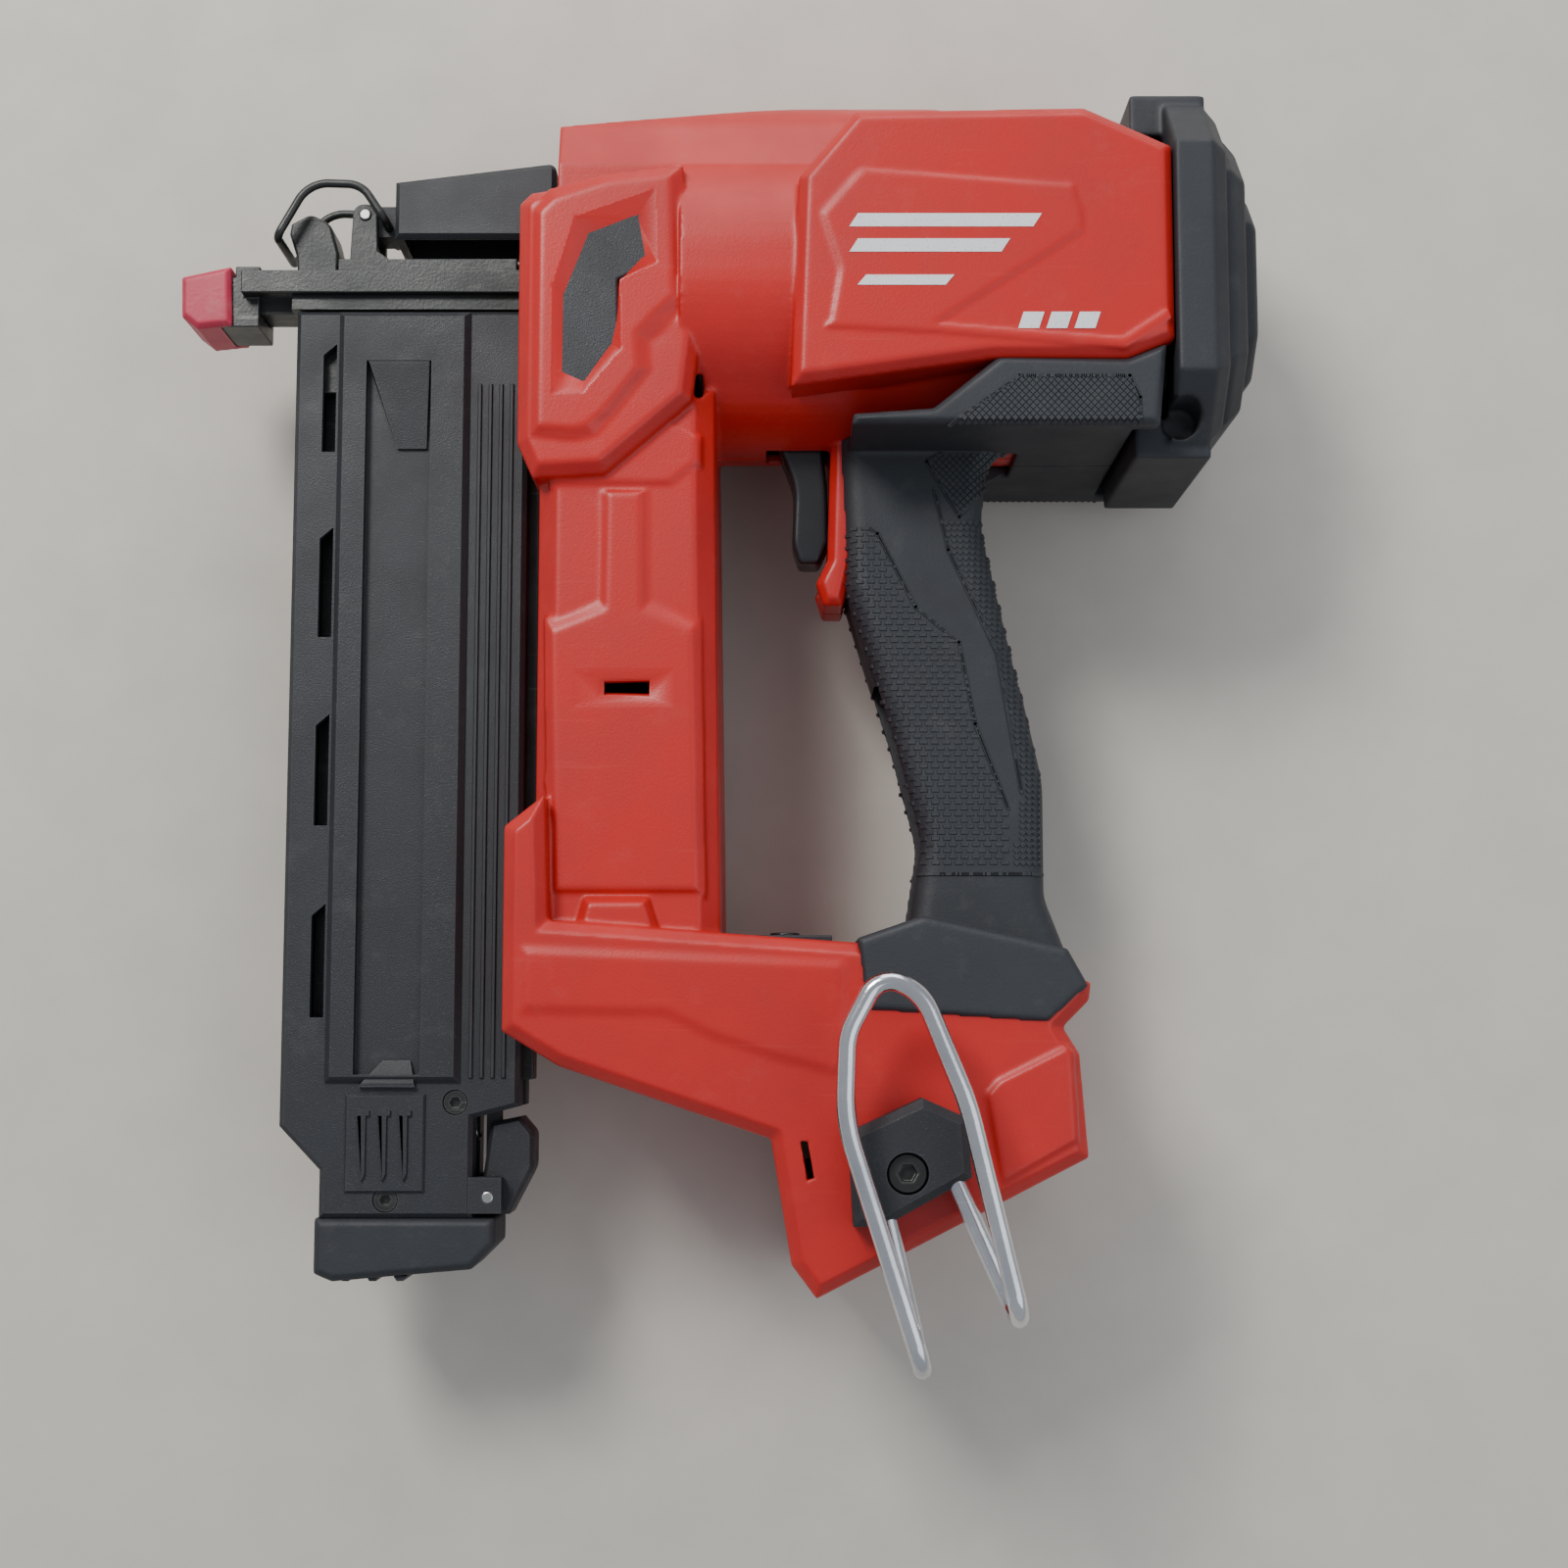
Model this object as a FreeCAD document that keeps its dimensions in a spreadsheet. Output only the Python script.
"""Cordless brad nailer, modelled lying on its right side.

The drive axis runs along X, from the nose at -X to the rear bumper at +X. The motor column and
the foot hang along -Y, and Z is the tool's width, with its left side up. While the pieces are
made, the origin is on the drive axis and the parting plane of the housing is Z = 0. At the end
every piece is moved so that the origin is under the middle of the whole tool.
"""
import FreeCAD, Part
import math
import os
import re
import Sketcher

V = FreeCAD.Vector

# ---------------------------------------------------------------- driving dimensions, mm
SIZES = {
    # housing: barrel
    "wall": 3.0,
    "barrel_front": 16.0,
    "barrel_rear": 130.0,
    "barrel_half": 42.0,
    "barrel_low": 41.0,
    "barrel_top": 41.0,
    "crown_top": 51.0,
    "crown_half": 30.0,
    "crown_hollow": 12.0,
    "barrel_bevel": 24.0,
    "side_half": 44.5,
    "side_rear": 140.0,
    # housing: front block round the lifter
    "front_left": 25.0,
    "front_right": 17.0,
    "front_top": 19.0,
    "front_low": 55.0,
    "front_half": 39.0,
    # housing: motor column
    "column_left": 20.0,
    "column_right": 24.5,
    "column_half": 34.0,
    "column_bevel": 5.0,
    "vent_drop": 105.0,
    "vent_long": 22.0,
    "vent_high": 5.0,
    # housing: foot and battery bay
    "foot_drop": 167.0,
    "foot_left": 26.5,
    "foot_rear": 115.0,
    "foot_half": 43.0,
    "bay_x": 50.0,
    "bay_drop": 257.0,
    "bay_angle": 27.0,
    "bay_long": 74.0,
    "bay_deep": 16.0,
    "bay_half": 34.0,
    "rail_lip": 3.0,
    # handle and its soft grip
    "handle_half": 13.5,
    "grip_skin": 3.0,
    "handle_front": 58.0,
    "handle_rear": 95.0,
    "handle_rake": 16.0,
    # rear end
    "cap_thick": 8.0,
    "cap_half": 36.0,
    "cap_screw": 26.5,
    "bumper_rear": 165.0,
    "bumper_half": 45.0,
    "bumper_high": 48.0,
    "boss_radius": 4.5,
    # gas cylinder and piston
    "tank_radius": 31.5,
    "tank_wall": 2.5,
    "tank_front": 20.0,
    "tank_rear": 126.0,
    "plate_thick": 6.0,
    "bore_radius": 18.0,
    "sleeve_wall": 2.5,
    "seal_gap": 0.05,
    "stroke": 80.0,
    "piston_long": 12.0,
    "cushion_long": 6.0,
    # driver blade and lifter
    "blade_thick": 2.4,
    "blade_reach": 29.0,
    "tooth_pitch": 8.0,
    "tooth_wide": 2.6,
    "tooth_high": 2.8,
    "lifter_places": 11,
    "pin_radius": 1.4,
    "lifter_x": 1.5,
    "disc_thick": 2.0,
    "disc_gap": 3.5,
    "shaft_radius": 4.0,
    # gear train and motor
    "gear_module": 0.55,
    "sun_teeth": 12,
    "ring_teeth": 36,
    "case_radius": 14.8,
    "motor_radius": 14.6,
    "rotor_radius": 10.0,
    "air_gap": 0.5,
    "run_gap": 0.05,
    # nose
    "nose_front": 104.0,
    "nose_half": 11.0,
    "nose_top": 4.6,
    "nose_low": 3.5,
    "channel_up": 5.0,
    "channel_down": 4.5,
    "channel_half": 1.5,
    "slide_gap": 0.3,
    "door_thick": 6.0,
    "hinge_x": 24.0,
    "hinge_y": 10.5,
    "pin_small": 1.5,
    "lever_x": 69.5,
    "lever_y": 23.5,
    "lever_half": 10.0,
    "wire_thin": 1.1,
    # magazine
    "brad_long": 54.0,
    "brad_slot": 1.5,
    "track_half": 4.0,
    "track_long": 202.0,
    "cover_front": 86.3,
    "cover_rear": 25.2,
    "cover_half": 12.0,
    "panel_raise": 2.0,
    "cover_wall": 2.3,
    "cover_long": 236.0,
    "latch_x": 33.0,
    "latch_drop": 235.0,
    # trigger
    "trigger_x": 48.5,
    "trigger_drop": 38.0,
    "trigger_half": 6.5,
    # belt hook
    "hook_wire": 2.3,
    "hook_x": 71.5,
    "hook_drop": 226.5,
    "hook_screw": 3.0,
    "screw_radius": 1.5,
    "screw_head": 3.0,
    "screw_seat": 9.0,
    "screw_long": 22.0,
    "insert_radius": 4.5,
    "insert_long": 7.0,
    # control panel
    "panel_x": 42.5,
    "button_radius": 4.0,
}

doc = FreeCAD.newDocument("nailer")
sheet = doc.addObject("Spreadsheet::Sheet", "Sizes")
for row, (alias, number) in enumerate(SIZES.items(), start=1):
    sheet.set(f"A{row}", alias)
    sheet.set(f"B{row}", str(number))
    sheet.setAlias(f"B{row}", alias)
doc.recompute()

NODES = {}
WORD = re.compile(r"[A-Za-z_]\w*")


# ---------------------------------------------------------------- helpers
def bound(text):
    """An expression with its size names pointed at the sheet."""
    return WORD.sub(lambda m: "Sizes." + m.group(0) if m.group(0) in SIZES else m.group(0), str(text))


def val(text):
    """The number that an expression gives now."""
    got = sheet.evalExpression(str(text))
    return float(getattr(got, "Value", got))


def body(name):
    made = doc.addObject("PartDesign::Body", name)
    made.Label = name
    return made


def plane_of(owner, role):
    return next(f for f in owner.Origin.OriginFeatures if f.Role == role + "_Plane")


def new_sketch(owner, plane, offset):
    """An empty sketch on one of the body's origin planes, moved by three expressions."""
    made = owner.newObject("Sketcher::SketchObject", owner.Name + "_sketch")
    made.AttachmentSupport = (plane_of(owner, plane), [""])
    made.MapMode = "FlatFace"
    for axis, text in zip("xyz", offset):
        if text != "0":
            made.setExpression(f"AttachmentOffset.Base.{axis}", bound(text))
    return made


def corner_arc(before, corner, after, radius):
    """Where a round corner leaves its two lines, its centre, and whether it turns left."""
    one = (before - corner).normalize()
    two = (after - corner).normalize()
    half = one.getAngle(two) / 2
    reach = radius / math.tan(half)
    centre = corner + (one + two).normalize() * (radius / math.sin(half))
    left = one.cross(two).z < 0
    return corner + one * reach, corner + two * reach, centre, left


def draw(made, corners):
    """Draw a closed outline. Each corner is (x, y) or (x, y, radius), all expressions."""
    count = len(corners)
    spots = [V(val(c[0]), val(c[1]), 0) for c in corners]
    starts, ends, arcs = list(spots), list(spots), {}
    for i, corner in enumerate(corners):
        if len(corner) == 3:
            bend = corner_arc(spots[i - 1], spots[i], spots[(i + 1) % count], val(corner[2]))
            ends[i], starts[i] = bend[0], bend[1]
            arcs[i] = bend
    for i in range(count):
        made.addGeometry(Part.LineSegment(starts[i], ends[(i + 1) % count]), False)
    for i, corner in enumerate(corners):
        if i not in arcs:
            made.addConstraint(Sketcher.Constraint("Coincident", (i - 1) % count, 2, i, 1))
            pin_down(made, i, 1, corner)
            continue
        entry, leave, centre, left = arcs[i]
        angles = [math.atan2(p.y - centre.y, p.x - centre.x) for p in (entry, leave)]
        if not left:
            angles.reverse()
        circle = Part.Circle(centre, V(0, 0, 1), (entry - centre).Length)
        arc = made.addGeometry(Part.ArcOfCircle(circle, *angles), False)
        mark = made.addGeometry(Part.Point(spots[i]), True)
        first, last = (1, 2) if left else (2, 1)
        made.addConstraint([
            Sketcher.Constraint("Tangent", (i - 1) % count, 2, arc, first),
            Sketcher.Constraint("Tangent", arc, last, i, 1),
            Sketcher.Constraint("PointOnObject", mark, 1, (i - 1) % count),
            Sketcher.Constraint("PointOnObject", mark, 1, i),
        ])
        size = made.addConstraint(Sketcher.Constraint("Radius", arc, val(corner[2])))
        made.setExpression(f"Constraints[{size}]", bound(corner[2]))
        pin_down(made, mark, 1, corner)


def pin_down(made, piece, point, spot):
    """Hold a sketch point at its two expressions."""
    for kind, text in (("DistanceX", spot[0]), ("DistanceY", spot[1])):
        number = made.addConstraint(Sketcher.Constraint(kind, -1, 1, piece, point, val(text)))
        made.setExpression(f"Constraints[{number}]", bound(text))


def draw_circle(made, spot, radius):
    circle = made.addGeometry(Part.Circle(V(val(spot[0]), val(spot[1]), 0), V(0, 0, 1), val(radius)), False)
    size = made.addConstraint(Sketcher.Constraint("Radius", circle, val(radius)))
    made.setExpression(f"Constraints[{size}]", bound(radius))
    pin_down(made, circle, 3, spot)


def feature(owner, made, low, high, plane, cut):
    """Pad the sketch from low to high, or cut that much out of the body."""
    doc.recompute()
    before = owner.Shape.Volume if cut else 0
    kind = "PartDesign::Pocket" if cut else "PartDesign::Pad"
    step = owner.newObject(kind, owner.Name + ("_cut" if cut else "_pad"))
    step.Profile = made
    step.setExpression("Length", bound(f"({high})-({low})"))
    doc.recompute()
    if cut and not owner.Shape.Volume < before - 1e-3:
        raise RuntimeError(f"{owner.Name}: a cut from {low} to {high} takes nothing away")
    return step


def slab(owner, corners, low, high, plane="XY", cut=False):
    """A flat-sided block, or the cut of one: corners in the plane, low to high across it."""
    far = {"XY": low, "YZ": low, "XZ": f"-({high})"}
    near = {"XY": high, "YZ": high, "XZ": f"-({low})"}
    made = new_sketch(owner, plane, ("0", "0", (near if cut else far)[plane]))
    draw(made, corners)
    return feature(owner, made, low, high, plane, cut)


def disc(owner, spot, radius, low, high, plane="XY", cut=False, bore=None):
    """A round block, a tube when it has a bore, or the cut of one."""
    far = {"XY": low, "YZ": low, "XZ": f"-({high})"}
    near = {"XY": high, "YZ": high, "XZ": f"-({low})"}
    made = new_sketch(owner, plane, ("0", "0", (near if cut else far)[plane]))
    draw_circle(made, spot, radius)
    if bore:
        draw_circle(made, spot, bore)
    return feature(owner, made, low, high, plane, cut)


def turned(owner, corners, spot=("0", "0"), axis="H_Axis", cut=False):
    """A lathe piece: corners are (along X, radius) or, about a line along Y, (radius, along Y)."""
    offset = ("0", spot[0], spot[1]) if axis == "H_Axis" else (spot[0], "0", spot[1])
    made = new_sketch(owner, "XY", offset)
    draw(made, corners)
    kind = "PartDesign::Groove" if cut else "PartDesign::Revolution"
    step = owner.newObject(kind, owner.Name + "_turned")
    step.Profile = made
    step.ReferenceAxis = (made, [axis])
    step.Angle = 360
    doc.recompute()
    return step


def box(x_low, x_high, y_low, y_high):
    """The four corners of a rectangle."""
    return [(x_low, y_low), (x_high, y_low), (x_high, y_high), (x_low, y_high)]


def edge_names(shape, wanted):
    return [f"Edge{i}" for i, edge in enumerate(shape.Edges, start=1) if wanted(edge)]


def bevel(owner, size, wanted, kind="Chamfer"):
    """Chamfer or fillet the edges of the body's last feature that the test picks."""
    step = owner.newObject("PartDesign::" + kind, owner.Name + "_" + kind.lower())
    step.Base = (owner.Tip if owner.Tip != step else step.BaseFeature, edge_names(owner.Shape, wanted))
    step.setExpression("Size" if kind == "Chamfer" else "Radius", bound(size))
    doc.recompute()
    return step


def at_height(height, axis="z"):
    """Picks the edges that lie all in one level."""
    level = val(height)

    def wanted(edge):
        return all(abs(getattr(v.Point, axis) - level) < 1e-4 for v in edge.Vertexes) and (
            abs(getattr(edge.CenterOfMass, axis) - level) < 1e-4)
    return wanted


def form(name, corners, low, high, size=None, kind="Chamfer", plane="XY"):
    """A body that is one block with its outer face's edges broken."""
    made = body(name)
    slab(made, corners, low, high, plane)
    if size:
        bevel(made, size, at_height(high, {"XY": "z", "YZ": "x"}[plane]), kind)
    return made


def joined(name, pieces):
    made = doc.addObject("Part::MultiFuse", name)
    made.Shapes = pieces
    made.Refine = True
    made.Label = name
    doc.recompute()
    return made


def less(name, base, tools):
    """The base with every tool cut away, one after another."""
    for number, tool in enumerate(tools, start=1):
        last = number == len(tools)
        made = doc.addObject("Part::Cut", name if last else f"{name}_step_{number}")
        made.Base = base
        made.Tool = tool
        made.Refine = False
        made.Label = made.Name
        base = made
    doc.recompute()
    return base


def mirrored(name, source):
    """The same piece for the tool's other side."""
    made = doc.addObject("Part::Mirroring", name)
    made.Source = source
    made.Normal = V(0, 0, 1)
    made.Label = name
    doc.recompute()
    return made


def keep(name, made):
    """Hand a finished piece in as a node."""
    made.Label = name
    NODES[name] = made
    return made


def pack_of(name, pieces):
    """Several separate solids that share one node."""
    group = doc.addObject("Part::Compound", name)
    group.Links = pieces
    doc.recompute()
    return keep(name, group)


def tilted_box(name, along, deep, half):
    """A box in the battery bay's own frame: ranges along the bay and into it, and a half width."""
    made = doc.addObject("Part::Box", name)
    made.setExpression("Length", bound(f"({along[1]})-({along[0]})"))
    made.setExpression("Width", bound(f"({deep[1]})-({deep[0]})"))
    made.setExpression("Height", bound(f"({half})*2"))
    turn = FreeCAD.Rotation(V(0, 0, 1), val("bay_angle"))
    corner = V(val("bay_x"), -val("bay_drop"), 0) + turn.multVec(V(val(along[0]), val(deep[0]), -val(half)))
    made.Placement = FreeCAD.Placement(corner, turn)
    doc.recompute()
    return made


def primitive(kind, name, place, **sizes):
    """A Part primitive whose sizes are expressions."""
    made = doc.addObject("Part::" + kind, name)
    for prop, text in sizes.items():
        made.setExpression(prop, bound(text))
    made.Placement = place
    return made


def fasteners(name, seats, head, high, shank, long):
    """Socket screws as one node. Each seat is where the head sits and the way it faces."""
    whole = []
    for number, (seat, toward) in enumerate(seats):
        turn = FreeCAD.Rotation(V(0, 0, 1), toward)
        at = V(*(val(text) for text in seat))
        tag = f"{name}_{number}"
        tip = at - turn.multVec(V(0, 0, val(long)))
        key = at + turn.multVec(V(0, 0, val(high) * 0.35))
        stem = primitive("Cylinder", tag + "_shank", FreeCAD.Placement(tip, turn), Radius=shank, Height=long)
        cap = primitive("Cylinder", tag + "_head", FreeCAD.Placement(at, turn), Radius=head, Height=high)
        socket = doc.addObject("Part::Prism", tag + "_socket")
        socket.Polygon = 6
        socket.setExpression("Circumradius", bound(f"({head})*0.5"))
        socket.setExpression("Height", bound(high))
        socket.Placement = FreeCAD.Placement(key, turn)
        whole.append(less(tag, joined(tag + "_solid", [stem, cap]), [socket]))
    return keep(name, whole[0]) if len(whole) == 1 else pack_of(name, whole)


def spring(name, start, toward, radius, wire, turns, long):
    """A compression spring: a round wire swept along a helix."""
    step = (long - 2 * wire) / turns
    helix = Part.makeHelix(step, step * turns, radius)
    circle = Part.Wire(Part.makeCircle(wire, V(radius, 0, 0), V(0, 1, 0)))
    coil = Part.Wire(helix).makePipeShell([circle], True, True)
    made = doc.addObject("Part::Feature", name)
    made.Shape = Part.Solid(coil) if coil.ShapeType != "Solid" else coil
    turn = FreeCAD.Rotation(V(0, 0, 1), toward)
    made.Placement = FreeCAD.Placement(start + turn.multVec(V(0, 0, wire)), turn)
    return keep(name, made)


def bent_wire(name, points, bends, radius):
    """A round wire along straight runs with a tangent arc of the given radius at each corner."""
    edges, here = [], points[0]
    for i in range(1, len(points) - 1):
        entry, leave, centre, _ = corner_3d(points[i - 1], points[i], points[i + 1], bends[i - 1])
        middle = centre + (points[i] - centre).normalize() * (entry - centre).Length
        edges.append(Part.LineSegment(here, entry).toShape())
        edges.append(Part.Arc(entry, middle, leave).toShape())
        here = leave
    edges.append(Part.LineSegment(here, points[-1]).toShape())
    path = Part.Wire(edges)
    run = (points[1] - points[0]).normalize()
    circle = Part.Wire(Part.makeCircle(radius, points[0], run))
    made = doc.addObject("Part::Feature", name)
    made.Shape = path.makePipeShell([circle], True, False)
    return keep(name, made)


def corner_3d(before, corner, after, radius):
    one = (before - corner).normalize()
    two = (after - corner).normalize()
    half = one.getAngle(two) / 2
    reach = radius / math.tan(half)
    centre = corner + (one + two).normalize() * (radius / math.sin(half))
    return corner + one * reach, corner + two * reach, centre, half


def gear_outline(teeth, pitch_radius, tip, root, shift, thin=0.42):
    """A closed wire round straight-flanked gear teeth. thin is a tooth's share of the pitch there."""
    points = []
    step = 2 * math.pi / teeth
    base = thin * step / 2
    crest = base * 0.45
    foot = base * 1.25
    for tooth in range(teeth):
        middle = tooth * step + shift
        for angle, radius in ((-foot, root), (-crest, tip), (crest, tip), (foot, root)):
            turn = middle + angle
            points.append(V(radius * math.sin(turn), 0, radius * math.cos(turn)))
    return Part.makePolygon(points + [points[0]])


# ---------------------------------------------------------------- levels that several pieces share
LIFTER_RADIUS = "(lifter_places*tooth_pitch/(2*pi))"
RACK_Z = "(-1.2-tooth_high*0.5)"
LIFTER_Z = f"({RACK_Z}-{LIFTER_RADIUS})"
WHEEL_RADIUS = f"({LIFTER_RADIUS}+pin_radius+1)"
DISC_TOP = "(disc_gap+disc_thick)"
SHAFT = ("lifter_x", LIFTER_Z)
FOOT_TOP = "(-foot_drop)"
PISTON_FRONT = "(tank_front+plate_thick+cushion_long+stroke)"
TANK_IN = "(tank_radius-tank_wall)"
BLADE_TIP = "(-blade_reach)"
TRACK_TOP = "(-nose_low)"
COVER_TOP = "(-nose_low-0.6)"
COVER_END = "(-nose_low-0.6-cover_long)"
MOUTH_HALF = "(nose_half+3.6)"


# ---------------------------------------------------------------- housing halves
def housing_forms():
    """The outer blocks of the left half, from the parting plane outwards."""
    barrel = form("barrel_form", [
        ("-barrel_low", "0"),
        ("-barrel_low", "barrel_half-barrel_bevel", "34"),
        ("-barrel_low+barrel_bevel", "barrel_half", "34"),
        ("barrel_top-barrel_bevel", "barrel_half", "34"),
        ("barrel_top", "barrel_half-barrel_bevel", "34"),
        ("barrel_top", "0"),
    ], "front_right-1", "barrel_rear", plane="YZ")
    crown_side = form("crown_side", [
        ("-barrel_front", "0"),
        ("-barrel_front", "barrel_top"),
        ("barrel_front", "crown_top-6"),
        ("barrel_rear-74", "crown_top", "20"),
        ("barrel_rear-47", "crown_top-2"),
        ("barrel_rear-42", "barrel_top+2"),
        ("barrel_rear-10", "barrel_top-3"),
        ("barrel_rear-2", "barrel_top-10"),
        ("barrel_rear", "0"),
    ], "0", "crown_half")
    crown_section = form("crown_section", [
        ("-1", "0"),
        ("-1", "crown_half"),
        ("barrel_top-12", "crown_half"),
        ("crown_top", "crown_half-8", "20"),
        ("crown_top", "0"),
    ], "-barrel_front-1", "barrel_rear+1", plane="YZ")
    crown = doc.addObject("Part::Common", "crown_form")
    crown.Base = crown_side
    crown.Tool = crown_section
    doc.recompute()
    side = form("side_form", [
        ("barrel_front+28", "-barrel_low+8"),
        ("side_rear-46", "-barrel_low+15"),
        ("side_rear-12", "-barrel_low+15"),
        ("side_rear", "-barrel_low+20"),
        ("side_rear", "barrel_top-12"),
        ("side_rear-22", "barrel_top-2"),
        ("side_rear-80", "barrel_top-3"),
        ("barrel_front+30", "barrel_top-20"),
    ], "barrel_half-12", "side_half", "2.5")
    front = form("front_form", [
        ("-front_left", "-front_low+9"),
        ("-front_left", "front_top-3"),
        ("-front_left+3", "front_top"),
        ("front_right-1", "front_top+5.6"),
        ("front_right", "-12"),
        ("front_right+4", "-18"),
        ("front_right+2", "-front_low+20"),
        ("front_right-20", "-front_low+1"),
        ("-front_left+4", "-front_low"),
    ], "0", "front_half", "3")
    column = form("column_form", [
        ("-column_left", "-front_low+25"),
        ("-column_left", FOOT_TOP + "-10"),
        ("column_right+2", FOOT_TOP + "-10"),
        ("column_right", "-front_low+15"),
        ("column_right", "-front_low+25"),
    ], "0", "column_half", "column_bevel")
    foot = form("foot_form", [
        ("-foot_left", FOOT_TOP + "+24"),
        ("-foot_left+10", FOOT_TOP + "+32"),
        ("-foot_left+11", FOOT_TOP + "+1"),
        ("foot_rear-55", FOOT_TOP + "-4.5"),
        ("foot_rear+2", FOOT_TOP + "-14"),
        ("foot_rear+1.5", FOOT_TOP + "-18.5"),
        ("foot_rear-5", FOOT_TOP + "-25"),
        ("foot_rear-1", FOOT_TOP + "-31.5"),
        ("bay_x+bay_long*cos(bay_angle)", "-bay_drop+bay_long*sin(bay_angle)"),
        ("bay_x", "-bay_drop"),
        ("bay_x-6", "-bay_drop+8"),
        ("bay_x-11", "-bay_drop+38"),
        ("-foot_left+14", FOOT_TOP + "-34.5"),
        ("-foot_left", FOOT_TOP + "-26"),
    ], "0", "foot_half", "3")
    return [barrel, crown, side, front, column, foot]


def handle_outline(inset):
    """The handle seen from its side, drawn inside the grip's skin by the inset."""
    return [
        (f"handle_front-3+{inset}", "-barrel_low+20"),
        (f"handle_front+{inset}", "-barrel_low-37.5"),
        (f"handle_front+handle_rake-4+{inset}", FOOT_TOP + "+49", "30"),
        (f"handle_front+handle_rake+3+{inset}", FOOT_TOP + "+22", "20"),
        (f"handle_front+handle_rake-2+{inset}", FOOT_TOP + "-10"),
        (f"handle_rear+24-{inset}", FOOT_TOP + "-18"),
        (f"handle_rear+14-{inset}", FOOT_TOP + "+8", "12"),
        (f"handle_rear+handle_rake-2-{inset}", FOOT_TOP + "+38", "40"),
        (f"handle_rear-1-{inset}", "-barrel_low-22", "25"),
        (f"handle_rear+1-{inset}", f"-barrel_low-2.5+{inset}", "8"),
        ("barrel_rear-4", f"-barrel_low-0.5+{inset}"),
        ("barrel_rear-4", "-barrel_low+20"),
    ]


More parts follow.
